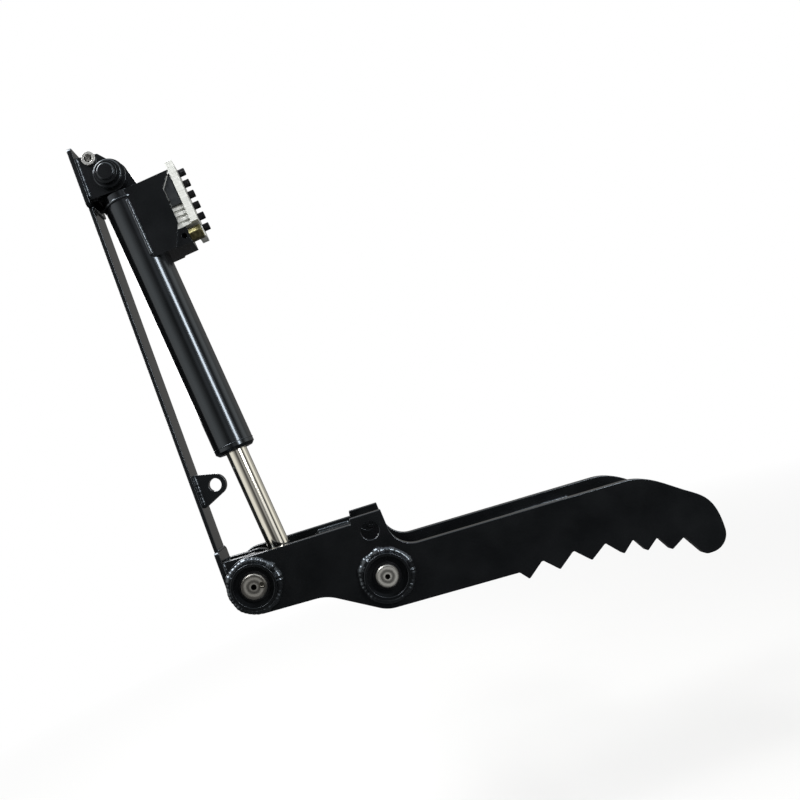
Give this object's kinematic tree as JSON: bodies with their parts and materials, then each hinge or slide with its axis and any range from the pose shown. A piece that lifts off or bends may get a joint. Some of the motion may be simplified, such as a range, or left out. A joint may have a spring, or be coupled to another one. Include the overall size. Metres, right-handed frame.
{
  "type": "excavator thumb",
  "caption": "Weld-on hydraulic excavator thumb: toothed side plates hinged on a flat weld bar, moved by a cylinder that carries a valve block.",
  "frame": {"origin": "middle of the lower weld pad's face, where it lies against the stick", "axes": "+Z along the weld bar, up the stick; +X from the weld faces towards the thumb; Y across"},
  "size_m": [0.9569, 0.236, 1.187],
  "materials": {
    "black_paint": "gloss",
    "bare_steel": "machined",
    "dark_steel": "satin",
    "hard_chrome": "polished",
    "aluminium": "machined",
    "brass": "satin",
    "seal": "matte"
  },
  "bodies": {
    "base": {"base_bar": "black_paint", "lower_pad": "black_paint", "upper_pad": "black_paint", "lower_ear_near": "black_paint", "lower_ear_far": "black_paint", "lower_bush_near": "bare_steel", "lower_bush_far": "bare_steel", "lock_lug": "black_paint", "upper_ear_near": "black_paint", "upper_ear_far": "black_paint", "upper_boss_near": "black_paint", "upper_boss_far": "black_paint", "base_pin": "bare_steel", "base_pin_ring": "bare_steel", "ear_tube": "bare_steel"},
    "thumb": {"side_plate_near": "black_paint", "side_plate_far": "black_paint", "pivot_pin": "bare_steel", "pivot_collar_near": "black_paint", "pivot_collar_far": "black_paint", "pivot_ring_near": "bare_steel", "pivot_ring_far": "bare_steel", "crank_block_near": "black_paint", "crank_block_far": "black_paint", "cross_pin": "bare_steel", "cross_collar_near": "black_paint", "cross_collar_far": "black_paint", "cross_ring_near": "bare_steel", "cross_ring_far": "bare_steel", "cross_sleeve": "black_paint", "top_plate": "black_paint", "belly_plate": "black_paint", "spine_plate": "black_paint", "tine_web": "black_paint", "tip_plate": "black_paint", "ear_plug": "black_paint"},
    "barrel": {"base_cap": "black_paint", "base_bush": "bare_steel", "barrel_tube": "black_paint", "gland": "black_paint", "rod_wiper": "seal", "rod_seal": "seal", "valve_bracket": "black_paint", "valve_manifold": "aluminium", "valve_cap": "dark_steel", "valve_cover": "aluminium", "port_block": "dark_steel", "port_fitting": "brass", "valve_screws": "dark_steel", "rod_port": "black_paint", "rod_pipe": "black_paint", "pipe_clip": "black_paint"},
    "rod": {"piston_rod": "hard_chrome", "piston": "dark_steel", "piston_seal": "seal", "piston_wear_ring": "seal", "piston_nut": "dark_steel", "rod_eye": "black_paint", "rod_bush": "bare_steel", "rod_pin": "bare_steel"}
  },
  "joints": [
    {"name": "thumb_pivot", "type": "hinge", "parent": "base", "child": "thumb", "pos_m": [0.065, 0, -0.037], "axis": [0, 1, 0], "range_deg": [-35, 35]},
    {"name": "cylinder_pivot", "type": "hinge", "parent": "base", "child": "barrel", "pos_m": [0.062, 0, 0.831], "axis": [0, 1, 0], "range_deg": [-1, 1]},
    {"name": "rod_slide", "type": "slide", "parent": "barrel", "child": "rod", "axis": [0.0743, 0, -0.9972], "range_m": [-0.04, 0.04]}
  ],
  "couplings": [
    {"joint": "cylinder_pivot", "follows": "thumb_pivot", "ratio": 0.008},
    {"joint": "rod_slide", "follows": "thumb_pivot", "m_per_rad": 0.0574}
  ]
}
